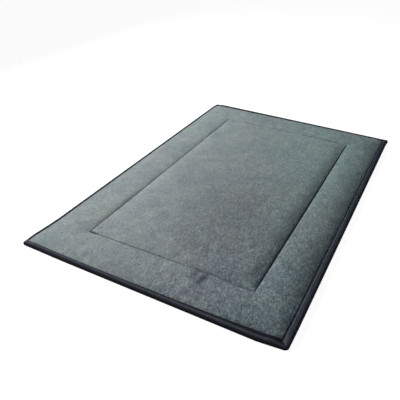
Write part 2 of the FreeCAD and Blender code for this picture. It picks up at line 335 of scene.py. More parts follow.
def pull_corners(points):
    """Round the mat's corners a little, press their tips thinner, and pull them and the edges out."""
    x, y = points[:, 0], points[:, 1]
    for side, end, radius, press, pull, reach in CORNERS:
        across = radius - (HALF_WIDTH - side * x)
        along = radius - (HALF_LENGTH - end * y)
        inside = (across > 0.0) & (along > 0.0)
        slant = np.maximum(np.hypot(across, along), 1e-9)
        share = np.where(inside, np.maximum(across, along) / slant, 1.0)
        x[:] = np.where(inside, side * (HALF_WIDTH - radius + across * share), x)
        y[:] = np.where(inside, end * (HALF_LENGTH - radius + along * share), y)
        away = np.hypot(HALF_WIDTH - side * x, HALF_LENGTH - end * y)
        points[:, 2] *= 1.0 - press * smooth_step(nearness(away, CORNER_PRESS), 0.0, 1.0)
        stretch = nearness(away, reach) ** 1.3
        x += pull[0] * stretch
        y += pull[1] * stretch
    x += EDGE_SPREAD[1] * smooth_step(x, 0.22, 0.30) - EDGE_SPREAD[3] * smooth_step(-x, 0.22, 0.30)
    y += EDGE_SPREAD[2] * smooth_step(y, 0.37, 0.45) - EDGE_SPREAD[0] * smooth_step(-y, 0.37, 0.45)


# The mat's edges and the tape's flange


# An edge's last two fields give the width and the strength of the painted highlight along its bead
Edge = namedtuple("Edge", "start forward length widths bead_inset worn_width worn")


def mat_edges(sizes):
    """The mat's four edges in the order that the tape runs: front, right, back and left.

    Each has its start, direction and length, its flange's widths, and the place, width and strength of the
    painted highlight along its bead, which makes its top lighter than its sides."""
    wide, long = HALF_WIDTH, HALF_LENGTH
    return (
        Edge((-wide, -long), (1.0, 0.0), 2.0 * wide, sizes.front_flange, 0.0030, 0.0020, (0.25, 0.45)),
        Edge((wide, -long), (0.0, 1.0), 2.0 * long, sizes.right_flange, 0.0084, 0.0034, (1.0, 0.6)),
        Edge((wide, long), (-1.0, 0.0), 2.0 * wide, sizes.back_flange, 0.0070, 0.0035, (0.12, 0.12)),
        Edge((-wide, long), (0.0, -1.0), 2.0 * long, sizes.left_flange, 0.0026, 0.0028, (0.45, 0.45)),
    )


def edge_place(edge, run, depth):
    """The place at a run along an edge and a depth in from it."""
    return (edge.start[0] + edge.forward[0] * run - edge.forward[1] * depth,
            edge.start[1] + edge.forward[1] * run + edge.forward[0] * depth)


def flange_width_at(edge, along):
    """The flange's width at places along an edge, with the small wander of a tape guided by hand."""
    share = 2.0 * along / edge.length - 1.0
    first, middle, last = edge.widths
    width = middle + 0.5 * (last - first) * share + (0.5 * (first + last) - middle) * share**2
    return width * (1.0 + 0.04 * waves(along + 7.0 * (first + last), (0.37, 0.23, 0.11)))


def flange_cover(x, y, sizes):
    """How far in from the edge the flange lies on the felt, mixed smoothly from the four edges."""
    total = np.zeros_like(x)
    shares = np.zeros_like(x)
    for edge in mat_edges(sizes):
        away_x, away_y = x - edge.start[0], y - edge.start[1]
        run = np.clip(away_x * edge.forward[0] + away_y * edge.forward[1], 0.0, edge.length)
        depth = np.maximum(away_y * edge.forward[0] - away_x * edge.forward[1], 0.0)
        share = 1.0 / (depth + 0.004) ** 4
        total += share * flange_width_at(edge, run)
        shares += share
    return total / shares


def stitch_dent(depth, width):
    """The dent of the stitches near a flange's sewn edge, as a share of its full depth."""
    return ridge(width - depth - STITCH_INSET, 0.0012)


def flange_top(x, y, depth, width, edge, sizes, on_felt=1.0):
    """Height of the upper flange: it lies on the rim and the felt, with a puffed bead and a dent."""
    rim = RIM_TOP + rim_lift(x, y)
    laid = np.maximum(felt_height(x, y, sizes) + TAPE_THICKNESS - rim, 0.0) * on_felt
    bead = sizes.bead * ridge(depth - edge.bead_inset, 0.0032)
    return rim + laid + bead - UPPER_DENT * stitch_dent(depth, width)


def felt_tone(x, y, sizes):
    """The felt's marks at each place: its shade, which holds painted light and shade, its dampness, its
    painted shade and dark marks, and how rough its nap is.
    """
    # Painted shade along the left edge and painted light at the right and the back, evening out the fall of
    # the window light from left to right
    shade = 1.0 - 0.05 * smooth_step(-x, 0.17, 0.22) - 0.04 * smooth_step(-x, 0.24, 0.27)
    shade += 0.02 * smooth_step(x, 0.12, 0.25)
    shade += 0.22 * smooth_step(x, 0.250, 0.275) * smooth_step(y, 0.14, 0.24)
    shade += 0.12 * smooth_step(y, -0.10, 0.15) * smooth_step(x, -0.10, 0.12)
    # Painted light and shade in patches, with painted shadow of boots that are not modelled
    shade += patches(x, y, PAINTED_LIGHT_PATCHES)
    damp = 0.65 * smooth_step(x + 0.25 * y, 0.0, 0.16) + 0.35 * smooth_step(y, -0.05, 0.25)
    # Painted shade along the seam's crease: darkest at the left, fainter at the right, and faint along the
    # front's right half and towards the back
    raised = smooth_step(-y, 0.30, 0.33) * smooth_step(x, 0.0, 0.07) * (1.0 - smooth_step(x, 0.16, 0.185))
    faded = np.maximum(raised, 0.35 * smooth_step(y, 0.05, 0.25))
    left = smooth_step(-x, 0.17, 0.19)
    line = (1.0 - 0.7 * faded) * (1.0 - 0.35 * smooth_step(x, 0.15, 0.19)) * (0.85 + 0.4 * left)
    line *= np.clip(1.5 - seam_line_distance(x, y, sizes) / (0.0016 + 0.0006 * left), 0.0, 1.0)
    # Beside the tape the felt is shaded, most at the right
    from_tape = np.maximum(edge_distance(x, y, SHARP_CORNER) - flange_cover(x, y, sizes), 0.0)
    shaded_rim = (0.16 + 0.2 * smooth_step(x, 0.0, 0.25)) * np.exp(-from_tape / 0.003)
    # A darker slanted mark at the front
    dark_mark = patches(x - 0.145 * (y + 0.379), y, [((0.0955, -0.379), (0.0075, 0.022), 1.0)])
    dark_mark += patches(x, y, DARK_MARKS)
    # Painted shade of the seam's crease and beside the tape, with the dark slanted mark at the front
    painted_shade_and_marks = np.clip(np.maximum(0.8 * line, shaded_rim) + dark_mark, 0.0, 1.0)
    nap = 0.15 + 0.85 * smooth_step(x, -0.15, 0.2) * (0.3 + 0.7 * smooth_step(-y, -0.2, 0.35))
    return shade, damp, painted_shade_and_marks, nap


# Making and shaping meshes


def set_all(item, **values):
    """Set several values of one thing."""
    for name, value in values.items():
        setattr(item, name, value)


def spread_lines(stops):
    """Places of a grid's lines, from (place, spacing) stops, closer where the shape turns sharply."""
    places = [stops[0][0]]
    for (start, spacing), (end, _) in zip(stops, stops[1:]):
        count = max(1, round((end - start) / spacing))
        places += [start + (end - start) * number / count for number in range(1, count + 1)]
    return np.array(places)


def quilt_lines(half, shift, sizes, outer, fine, coarse):
    """Grid lines across the mat, in steps closer together towards its rim and its seam's crease."""
    edge = half - outer
    crease = 0.0024
    halves = []
    for side in (-1.0, 1.0):
        seam = half - sizes.seam_inset + side * shift
        halves.append(spread_lines([
            (0.0, coarse), (seam - 0.034, fine * 2.0), (seam - 0.012, fine), (seam - crease, 0.0012),
            (seam, 0.0012), (seam + crease, fine), (seam + 0.012, coarse), (edge - 0.035, fine * 2.0),
            (edge - 0.012, fine), (edge, fine),
        ]))
    return np.concatenate([-halves[0][:0:-1], halves[1]])


def select_alone(*pieces):
    """Select these pieces and nothing else, and make the first one active."""
    for item in bpy.context.selected_objects:
        item.select_set(False)
    for piece in pieces:
        piece.select_set(True)
    if pieces:
        bpy.context.view_layer.objects.active = pieces[0]


def read_points(piece):
    """A piece's vertices as an array of places."""
    points = np.zeros(len(piece.data.vertices) * 3)
    piece.data.vertices.foreach_get("co", points)
    return points.reshape(-1, 3)


def write_points(piece, points):
    """Move a piece's vertices to the places of an array."""
    piece.data.vertices.foreach_set("co", points.ravel())
    piece.data.update()


def add_grid(name, across, along):
    """A flat grid with its lines at the given places, and the column and row of each of its points."""
    select_alone()
    bpy.ops.mesh.primitive_grid_add(
        x_subdivisions=len(across) - 1, y_subdivisions=len(along) - 1, size=2.0, location=(0, 0, 0))
    piece = bpy.context.object
    piece.name = piece.data.name = name
    points = read_points(piece)
    columns = np.rint((points[:, 0] + 1.0) / 2.0 * (len(across) - 1)).astype(int)
    rows = np.rint((points[:, 1] + 1.0) / 2.0 * (len(along) - 1)).astype(int)
    points[:, 0] = across[columns]
    points[:, 1] = along[rows]
    write_points(piece, points)
    return piece, columns, rows


def add_layer(name, sizes, outer, fine, coarse):
    """A flat grid of the mat's size less an outer margin, with close lines at its rim and its seam."""
    lines = [quilt_lines(half, shift, sizes, outer, fine, coarse)
             for half, shift in zip((HALF_WIDTH, HALF_LENGTH), sizes.seam_shift)]
    return add_grid(name, *lines)[0]


def apply_modifier(piece, kind, **values):
    """Give a piece a modifier with these values, and apply it."""
    select_alone(piece)
    modifier = piece.modifiers.new(kind.title(), kind)
    set_all(modifier, **values)
    bpy.ops.object.modifier_apply(modifier=modifier.name)


def thicken(piece, thickness, offset):
    """Give a sheet its thickness, on the side that the offset says."""
    apply_modifier(piece, "SOLIDIFY", thickness=thickness, offset=offset, use_even_offset=False)


def edit_whole(operator, **values):
    """Run a mesh operator on the whole of the active piece."""
    bpy.ops.object.mode_set(mode="EDIT")
    bpy.ops.mesh.select_all(action="SELECT")
    operator(**values)
    bpy.ops.object.mode_set(mode="OBJECT")


def mark_points(piece, name, values):
    """Keep four values at each vertex, as a colour that the material reads."""
    marks = piece.data.color_attributes.new(name=name, type="FLOAT_COLOR", domain="POINT")
    marks.data.foreach_set("color", np.stack(values, axis=1).ravel())


def finish_piece(piece, material):
    """Shade a piece, give it its material and let it ride on the mat's one body."""
    select_alone(piece)
    bpy.ops.object.shade_smooth_by_angle(angle=math.radians(50.0))
    piece.data.materials.clear()
    piece.data.materials.append(material)
    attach(piece, "root")


def drape_felt(sizes):
    """Let a cloth of the felt's size settle, and return its grid and how far it moved up or down.

    It is held under the binding and along the seam. Between them it is cut a little full and the foam
    pushes it up, so that it swells and puckers as quilted felt does."""
    across, along = (np.linspace(-half, half, round(2.0 * half / DRAPE_CELL) + 1)
                     for half in (HALF_WIDTH - TAPE_THICKNESS, HALF_LENGTH - TAPE_THICKNESS))
    cloth, columns, rows = add_grid("felt_drape", across, along)
    points = read_points(cloth)
    x, y = points[:, 0].copy(), points[:, 1].copy()
    level = felt_height(x, y, sizes)
    points[:, 2] = level + felt_unevenness(x, y, sizes)
    write_points(cloth, points)
    under_tape = edge_distance(x, y, SHARP_CORNER) < DRAPE_HOLD
    sewn = under_tape | (seam_line_distance(x, y, sizes) < 0.5 * DRAPE_CELL)
    held = cloth.vertex_groups.new(name="held")
    held.add([int(number) for number in np.flatnonzero(sewn)], 1.0, "REPLACE")
    drape = cloth.modifiers.new("Drape", "CLOTH")
    set_all(
        drape.settings, vertex_group_mass=held.name, quality=6, mass=0.02,
        tension_stiffness=20.0, compression_stiffness=20.0, shear_stiffness=8.0, bending_stiffness=4.0,
        air_damping=4.0, shrink_min=-0.005, use_pressure=True, uniform_pressure_force=0.05)
    drape.settings.effector_weights.gravity = 0.0
    drape.collision_settings.use_collision = False
    for frame_number in range(1, DRAPE_FRAMES + 1):
        bpy.context.scene.frame_set(frame_number)
    select_alone(cloth)
    bpy.ops.object.modifier_apply(modifier=drape.name)
    lift = np.zeros((len(across), len(along)))
    moved = read_points(cloth)[:, 2] - level
    lift[columns, rows] = DRAPE_LIMIT * np.tanh(moved / DRAPE_LIMIT)
    bpy.context.scene.frame_set(1)
    bpy.ops.object.delete()
    return across, along, lift


def felt_lift(x, y, sizes):
    """How far the felt lies over its plain section, as the cloth settled."""
    if not settled:
        settled["cloth"] = drape_felt(sizes)
    across, along, lift = settled["cloth"]
    column, row = (np.clip((place - lines[0]) / (lines[1] - lines[0]), 0.0, len(lines) - 1.001)
                   for place, lines in ((x, across), (y, along)))
    left, low = column.astype(int), row.astype(int)
    right_share, up_share = column - left, row - low
    below, above = (lift[left, line] * (1.0 - right_share) + lift[left + 1, line] * right_share
                    for line in (low, low + 1))
    return below * (1.0 - up_share) + above * up_share


# Materials. An input is given as a number, a colour or the socket that feeds it.


def feed(tree, node, inputs):
    """Set or link a node's inputs, by their names or numbers."""
    for name, value in inputs.items():
        socket = node.inputs[name]
        if isinstance(value, bpy.types.NodeSocket):
            tree.links.new(value, socket)
        elif socket.type == "RGBA":
            socket.default_value = (*value[:3], 1.0)
        else:
            socket.default_value = value


def add_node(tree, kind, inputs, **settings):
    """A shader node with its settings and inputs; returns its outputs."""
    node = tree.nodes.new("ShaderNode" + kind)
    set_all(node, **settings)
    feed(tree, node, inputs)
    return node.outputs


def calculate(tree, operation, *values):
    """The result of a calculation on values."""
    return add_node(tree, "Math", dict(enumerate(values)), operation=operation)[0]


def map_range(tree, value, low, high, start=0.0, end=1.0, way="LINEAR"):
    """A value between two limits, as one from start to end."""
    inputs = {"Value": value, "From Min": low, "From Max": high, "To Min": start, "To Max": end}
    return add_node(tree, "MapRange", inputs, interpolation_type=way)["Result"]


def mix_colour(tree, factor, first, second, blend="MIX"):
    """A mix of two colours."""
    inputs = {"Factor": factor, "A": first, "B": second}
    return add_node(tree, "Mix", inputs, data_type="RGBA", blend_type=blend)["Result"]


def add_relief(tree, *layers):
    """The normal of relief in layers, from below, each with its height, strength and distance."""
    normal = None
    for height, strength, distance in layers:
        inputs = {"Height": height, "Strength": strength, "Distance": distance}
        if normal is not None:
            inputs["Normal"] = normal
        normal = add_node(tree, "Bump", inputs)["Normal"]
    return normal


def new_group(name, inputs, outputs):
    """A shader node group with named sockets, what it is given and the node that takes its results."""
    group = bpy.data.node_groups.new(name, "ShaderNodeTree")
    for label, (kind, default) in inputs.items():
        socket = group.interface.new_socket(name=label, in_out="INPUT", socket_type="NodeSocket" + kind)
        if default is not None:
            socket.default_value = default
    for label, kind in outputs.items():
        group.interface.new_socket(name=label, in_out="OUTPUT", socket_type="NodeSocket" + kind)
    return group, group.nodes.new("NodeGroupInput").outputs, group.nodes.new("NodeGroupOutput")


def fleck_group():
    """Short fibres that lie all ways: streaked noise in three directions, as light and dark masks."""
    group, given, result = new_group(
        "Fibre flecks",
        {"Vector": ("Vector", None), "Scale": ("Float", 300.0), "Stretch": ("Float", 3.0),
         "Sharpness": ("Float", 0.16)},
        {"Light": "Float", "Dark": "Float", "Height": "Float"})
    narrowed = calculate(group, "DIVIDE", 1.0, given["Stretch"])
    squeeze = add_node(group, "CombineXYZ", {"X": narrowed, "Y": 1.0, "Z": 1.0})[0]
    streaks = []
    for number, angle in enumerate((0.35, 1.4, 2.5)):
        turn = {"Vector": given["Vector"], "Angle": angle, "Center": (0.31 * number, 0.17, 0.0)}
        turned = add_node(group, "VectorRotate", turn, rotation_type="Z_AXIS")[0]
        scaled = add_node(group, "VectorMath", {0: turned, 1: squeeze}, operation="MULTIPLY")[0]
        noise = {"Vector": scaled, "Scale": given["Scale"], "Detail": 2.0, "Roughness": 0.55}
        streaks.append(add_node(group, "TexNoise", {**noise, "Distortion": 0.5})["Fac"])
    highest = calculate(group, "MAXIMUM", streaks[0], streaks[1])
    lowest = calculate(group, "MINIMUM", streaks[1], streaks[2])
    masks = []
    for streak, middle, sign in ((highest, 0.56, 1.0), (lowest, 0.44, -1.0)):
        full = calculate(group, "MULTIPLY_ADD", given["Sharpness"], sign, middle)
        masks.append(map_range(group, streak, middle, full, way="SMOOTHSTEP"))
    height = calculate(group, "ADD", highest, lowest)
    feed(group, result, {"Light": masks[0], "Dark": masks[1], "Height": height})
    return group


def mottle_group():
    """Soft patches at one scale: a value for shade, and a tint between those of dark and light patches."""
    white = (1.0, 1.0, 1.0, 1.0)
    group, given, result = new_group(
        "Mottling",
        {"Vector": ("Vector", None), "Scale": ("Float", 30.0), "Strength": ("Float", 0.2),
         "Low": ("Color", white), "High": ("Color", white)},
        {"Shade": "Float", "Tint": "Color"})
    noise = add_node(group, "TexNoise", {"Vector": given["Vector"], "Scale": given["Scale"],
                                         "Detail": 3.0, "Roughness": 0.6})["Fac"]
    centred = calculate(group, "SUBTRACT", noise, 0.5)
    shade = calculate(group, "MULTIPLY_ADD", centred, given["Strength"], 1.0)
    tint = mix_colour(group, map_range(group, noise, 0.3, 0.7), given["Low"], given["High"])
    feed(group, result, {"Shade": shade, "Tint": tint})
    return group


def weave_group():
    """A plain weave: threads over and under each other, along and across a flat map in metres."""
    group, given, result = new_group(
        "Plain weave",
        {"Vector": ("Vector", None), "Threads along": ("Float", 1200.0),
         "Threads across": ("Float", 1200.0)},
        {"Height": "Float", "Gap": "Float"})
    split = add_node(group, "SeparateXYZ", {"Vector": given["Vector"]})
    turns = [calculate(group, "MULTIPLY", split[axis], given[label])
             for axis, label in (("X", "Threads along"), ("Y", "Threads across"))]
    threads = [calculate(group, "SINE", calculate(group, "MULTIPLY", turn, math.pi)) for turn in turns]
    ribs = [calculate(group, "ABSOLUTE", thread) for thread in threads]
    crossing = calculate(group, "MULTIPLY", *threads)
    body = calculate(group, "MULTIPLY", *ribs)
    height = calculate(group, "MULTIPLY_ADD", crossing, 0.35, body)
    feed(group, result, {"Height": height, "Gap": map_range(group, body, 0.0, 0.45, 1.0, 0.0)})
    return group


GROUPS = {"Fibre flecks": fleck_group, "Mottling": mottle_group, "Plain weave": weave_group}


def use_group(tree, name, place, **values):
    """A group's outputs in a material, with its own values. A group is built when it is first used."""
    group = bpy.data.node_groups.get(name) or GROUPS[name]()
    inputs = {label.replace("_", " "): value for label, value in values.items()}
    return add_node(tree, "Group", {"Vector": place, **inputs}, node_tree=group)


def new_material(name):
    """A material with its tree, its shader and the places that its patterns follow."""
    material = bpy.data.materials.new(name)
    material.use_nodes = True
    tree = material.node_tree
    return material, tree, tree.nodes["Principled BSDF"], add_node(tree, "TexCoord", {})


def felt_material(colours):
    """Grey needle felt: light and dark fibres, soft patches of nap, damp tint, painted shade in its creases
    and beside the tape, and a dark mark at the front.
    """
    material, tree, shader, places = new_material("grey_felt")
    place = places["Object"]
    flecks = use_group(tree, "Fibre flecks", place, Scale=380.0, Stretch=3.0, Sharpness=0.2)
    tufts = use_group(tree, "Fibre flecks", place, Scale=260.0, Stretch=2.8, Sharpness=0.10)
    fuzz = use_group(tree, "Fibre flecks", place, Scale=1500.0, Stretch=4.0, Sharpness=0.2)
    blotches = use_group(tree, "Mottling", place, Scale=42.0, Strength=0.55,
                         Low=(1.025, 0.984, 1.045), High=(0.965, 1.036, 0.955))
    nap = use_group(tree, "Mottling", place, Scale=11.0, Strength=0.4,
                    Low=(0.960, 1.005, 1.045), High=(1.030, 1.005, 0.955))
    marks = add_node(tree, "Attribute", {}, attribute_name="tone")
    tone = add_node(tree, "SeparateColor", {"Color": marks["Color"]})
    rough = marks["Alpha"]
    light, dark = colours.felt_light, colours.felt_dark
    glint = [1.3 * value for value in light]
    fleck_strength = calculate(tree, "MULTIPLY_ADD", rough, 0.4, 0.6)
    tuft_strength = calculate(tree, "MULTIPLY_ADD", rough, 0.5, 0.12)
    colour = [0.5 * (bright + deep) for bright, deep in zip(light, dark)]
    for mask, strength, fibre in (
            (flecks["Light"], fleck_strength, light), (flecks["Dark"], fleck_strength, dark),
            (tufts["Light"], tuft_strength, glint), (tufts["Dark"], tuft_strength, dark)):
        colour = mix_colour(tree, calculate(tree, "MULTIPLY", mask, strength), colour, fibre)
    colour = mix_colour(tree, fuzz["Light"], colour, light)
    shade = calculate(tree, "MULTIPLY", blotches["Shade"], nap["Shade"])
    # The tone's red brings in painted light and shade, and its blue the painted shade of the seam's crease
    # and of the felt beside the tape
    for factor, tint in (
            (1.0, calculate(tree, "MULTIPLY", shade, tone["Red"])), (1.0, nap["Tint"]),
            (1.0, blotches["Tint"]), (tone["Green"], colours.damp_tint), (rough, colours.rough_tint),
            (tone["Blue"], colours.painted_shade_and_marks)):
        colour = mix_colour(tree, factor, colour, tint, "MULTIPLY")
    relief = add_relief(tree, (tufts["Height"], 0.4, 0.0011), (flecks["Height"], 0.6, 0.0009),
                        (fuzz["Height"], 0.5, 0.0003))
    feed(tree, shader, {"Base Color": colour, "Roughness": 0.95, "Specular IOR Level": 0.2,
                        "Sheen Weight": 0.08, "Sheen Roughness": 0.6, "Normal": relief})
    return material


def tape_material(colours):
    """Dark navy woven tape, whose threads run along and across it."""
    material, tree, shader, places = new_material("navy_tape")
    weave = use_group(tree, "Plain weave", places["UV"], Threads_along=900.0, Threads_across=700.0)
    mottling = use_group(tree, "Mottling", places["Object"], Scale=60.0, Strength=0.8)
    marks = add_node(tree, "Attribute", {}, attribute_name="tape_highlight")
    # The tape's top and bead are painted lighter than its sides: a painted highlight
    colour = mix_colour(tree, marks["Fac"], colours.tape, colours.highlight_tape)
    # The gaps between the threads are painted darker: painted shade
    gap_shade = mix_colour(tree, weave["Gap"], (1.0, 1.0, 1.0), (0.45, 0.45, 0.45))
    for tint in (gap_shade, mottling["Shade"]):
        colour = mix_colour(tree, 1.0, colour, tint, "MULTIPLY")
    feed(tree, shader, {"Base Color": colour, "Roughness": 0.95, "Specular IOR Level": 0.05,
                        "Sheen Weight": 0.02, "Sheen Roughness": 0.5,
                        "Normal": add_relief(tree, (weave["Height"], 0.7, 0.0003))})
    return material


def base_material(colours):
    """Coated base fabric: a flat weave that shows through its coating, with a light grain."""
    material, tree, shader, places = new_material("coated_fabric")
    place = places["Object"]
    weave = use_group(tree, "Plain weave", place, Threads_along=500.0, Threads_across=500.0)
    grain = use_group(tree, "Mottling", place, Scale=900.0, Strength=1.0)
    scuffs = use_group(tree, "Mottling", place, Scale=25.0, Strength=0.7)
    feed(tree, shader, {
        "Base Color": mix_colour(tree, 1.0, colours.base, scuffs["Shade"], "MULTIPLY"),
        "Roughness": map_range(tree, scuffs["Shade"], 0.7, 1.3, 0.42, 0.62),
        "Normal": add_relief(tree, (weave["Height"], 0.4, 0.0002), (grain["Shade"], 0.3, 0.0002))})
    return material


def foam_material(colours):
    """Open-cell foam: small round cells with thin walls."""
    material, tree, shader, places = new_material("open_cell_foam")
    cells = add_node(tree, "TexVoronoi", {"Vector": places["Object"], "Scale": 700.0},
                     feature="DISTANCE_TO_EDGE")
    walls = map_range(tree, cells["Distance"], 0.0, 0.35)
    # The hollows of the cells are painted darker than their walls: painted shade
    dark = [0.4 * value for value in colours.foam]
    feed(tree, shader, {"Base Color": mix_colour(tree, walls, colours.foam, dark), "Roughness": 0.95,
                        "Normal": add_relief(tree, (walls, 0.8, -0.0006))})
    return material


def thread_material(name, colour):
    """Twisted sewing thread."""
    material, tree, shader, places = new_material(name)
    twist = add_node(tree, "TexNoise", {"Vector": places["Object"], "Scale": 1800.0})["Fac"]
    dark = [0.6 * value for value in colour]
    feed(tree, shader, {"Base Color": mix_colour(tree, twist, dark, colour), "Roughness": 0.6,
                        "Normal": add_relief(tree, (twist, 0.5, 0.0002))})
    return material


# Pieces


class MAT_OT_felt_cover(bpy.types.Operator):
    """Make the felt cover, crowned between its rim and its quilting seam"""

    bl_idname = "mat.felt_cover"
    bl_label = "Felt cover"

    def execute(self, context):
        sizes = context.scene.mat_sizes
        cover = add_layer("felt_cover", sizes, TAPE_THICKNESS, 0.0018, 0.0055)
        points = read_points(cover)
        x, y = points[:, 0].copy(), points[:, 1].copy()
        points[:, 2] = felt_height(x, y, sizes) + felt_lift(x, y, sizes)
        pull_corners(points)
        write_points(cover, points)
        mark_points(cover, "tone", felt_tone(x, y, sizes))
        thicken(cover, sizes.felt_thickness, -1.0)
        finish_piece(cover, felt_material(context.scene.mat_colours))
        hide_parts("top_cover")
        return {"FINISHED"}


class MAT_OT_foam_slab(bpy.types.Operator):
    """Make the foam core that fills the space between the cover and the base sheet"""

    bl_idname = "mat.foam_slab"
    bl_label = "Foam core"

    def execute(self, context):
        sizes = context.scene.mat_sizes
        clear = 0.3 * MM
        slab = add_layer("foam_slab", sizes, TAPE_THICKNESS + clear, 0.004, 0.012)
        points = read_points(slab)
        x, y = points[:, 0], points[:, 1]
        bottom = base_height(x, y, sizes) + sizes.base_thickness + clear
        top = felt_height(x, y, sizes) + felt_lift(x, y, sizes) - sizes.felt_thickness - clear
        points[:, 2] = bottom
        write_points(slab, points)
        thicken(slab, MM, 1.0)
        # The wall gives the slab a second face, and each face then goes to its own height
        raised = read_points(slab)
        first, second = raised[:len(points)], raised[len(points):]
        second[:, :2] = first[:, :2]
        low = first[:, 2] > second[:, 2]
        first[:, 2] = np.where(low, top, bottom)
        second[:, 2] = np.where(low, bottom, top)
        pull_corners(raised)
        write_points(slab, raised)
        finish_piece(slab, foam_material(context.scene.mat_colours))
        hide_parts("foam_core")
        return {"FINISHED"}


class MAT_OT_base_sheet(bpy.types.Operator):
    """Make the coated base sheet, which lies on the floor"""

    bl_idname = "mat.base_sheet"
    bl_label = "Base sheet"

    def execute(self, context):
        sizes = context.scene.mat_sizes
        base = add_layer("coated_base", sizes, TAPE_THICKNESS, 0.002, 0.012)
        points = read_points(base)
        points[:, 2] = base_height(points[:, 0], points[:, 1], sizes)
        pull_corners(points)
        write_points(base, points)
        thicken(base, sizes.base_thickness, 1.0)
        finish_piece(base, base_material(context.scene.mat_colours))
        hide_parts("base_sheet")
        return {"FINISHED"}


def tape_rows(sizes):
    """Rows across the tape: share of the flange, inset and drop of the upper half; lower half's place."""
    upper = [(number / 12.0, TAPE_FOLD, 0.0) for number in range(12, 0, -1)]
    for angle in np.linspace(0.0, 0.5 * math.pi, 8):
        inset = TAPE_FOLD * (1.0 - math.sin(angle)) - TAPE_PUFF * math.sin(angle) ** 2
        upper.append((0.0, inset, TAPE_FOLD * (1.0 - math.cos(angle))))
    low_fold = TAPE_THICKNESS + sizes.base_thickness
    lower = [(-1.3 * TAPE_PUFF, 0.5 * RIM_TOP)]
    for angle in np.linspace(0.0, 0.5 * math.pi, 6):
        inset = low_fold * (1.0 - math.cos(angle)) - TAPE_PUFF * math.cos(angle) ** 2
        lower.append((inset, low_fold * (1.0 - math.sin(angle))))
    for inset in np.linspace(low_fold, sizes.flange_width, 9)[1:]:
        lower.append((inset, LOWER_DENT * stitch_dent(inset, sizes.flange_width)))
    return np.array(upper), np.array(lower)


def tape_columns(length):
    """Places of the tape's crosslines along one edge, closer together at its mitres."""
    corner = np.array((0.0, 0.0008, 0.002, 0.004, 0.007, 0.011, 0.017, 0.024))
    count = round((length - 2.0 * MITRE_ZONE) / 0.006)
    middle = np.linspace(MITRE_ZONE, length - MITRE_ZONE, count + 1)
    return np.concatenate([corner, middle, length - corner[::-1]])


def lay_tape(edges, side, along, on_top, upper, lower, sizes):
    """Along one edge, the places of the tape's points, how far they are across it and how much painted
    highlight they get.
    """
    edge, before, after = edges[side], edges[side - 1], edges[(side + 1) % 4]
    share, inset, drop = upper.T
    width = flange_width_at(edge, along)
    depth, start_depth, end_depth = (
        np.where(on_top, inset + share * (wide - TAPE_FOLD), lower[:, 0])
        for wide in (width, flange_width_at(before, before.length), flange_width_at(after, 0.0)))
    run = along + nearness(along, MITRE_ZONE) * start_depth
    run -= nearness(edge.length - along, MITRE_ZONE) * end_depth
    x, y = edge_place(edge, run, depth)
    level = 1.0 - drop / TAPE_FOLD
    overlap = MITRE_OVERLAP * ridge(along, 0.011) * level
    top = flange_top(x, y, depth, width, edge, sizes, share > 0.0) - drop + overlap
    # Painted highlight: the tape's top is drawn lighter than its sides, most along its bead, where light
    # catches it
    worn = (0.25 + 0.75 * ridge(depth - edge.bead_inset, edge.worn_width)) * np.sqrt(level) * on_top
    worn *= edge.worn[0] + (edge.worn[1] - edge.worn[0]) * along / edge.length
    placed = np.stack([x, y, np.where(on_top, top, lower[:, 1])], axis=1)
    return placed, np.where(on_top, depth + RIM_TOP, -depth), worn


def map_tape(tape, along, across):
    """A flat map of the tape in metres, so that its threads run true and stop at the mitres."""
    layer = tape.data.uv_layers.active or tape.data.uv_layers.new(name="UVMap")
    corners = np.zeros(len(tape.data.loops), int)
    tape.data.loops.foreach_get("vertex_index", corners)
    layer.data.foreach_set("uv", np.stack([along[corners], across[corners]], axis=1).ravel())


class MAT_OT_binding_tape(bpy.types.Operator):
    """Fold the binding tape over the edge of the layers and mitre its corners"""

    bl_idname = "mat.binding_tape"
    bl_label = "Binding tape"

    def execute(self, context):
        sizes = context.scene.mat_sizes
        edges = mat_edges(sizes)
        upper, lower = tape_rows(sizes)
        lines = [(side, place) for side, edge in enumerate(edges) for place in tape_columns(edge.length)]
        flat_lines = [np.linspace(0.0, 1.0, count) for count in (len(lines), len(upper) + len(lower))]
        tape, columns, rows = add_grid("binding_tape", *flat_lines)
        sides, along = np.array(lines)[columns].T
        on_top = rows < len(upper)
        upper_row = upper[np.minimum(rows, len(upper) - 1)]
        lower_row = lower[np.maximum(rows - len(upper), 0)]
        points = read_points(tape)
        across, tape_highlight = np.zeros((2, len(points)))
        for side in range(4):
            here = sides == side
            points[here], across[here], tape_highlight[here] = lay_tape(
                edges, side, along[here], on_top[here], upper_row[here], lower_row[here], sizes)
        beside = np.abs(points[:, 0]) * HALF_LENGTH > np.abs(points[:, 1]) * HALF_WIDTH
        map_tape(tape, np.where(beside, points[:, 1], points[:, 0]), across)
        # The painted highlight of the tape's top and bead
        mark_points(tape, "tape_highlight", (tape_highlight, tape_highlight, tape_highlight, np.ones(len(tape_highlight))))
        pull_corners(points)
        write_points(tape, points)
        select_alone(tape)
        edit_whole(bpy.ops.mesh.remove_doubles, threshold=0.00001)
        thicken(tape, TAPE_WALL, 1.0)
        finish_piece(tape, tape_material(context.scene.mat_colours))
        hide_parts("edge_binding")
        return {"FINISHED"}


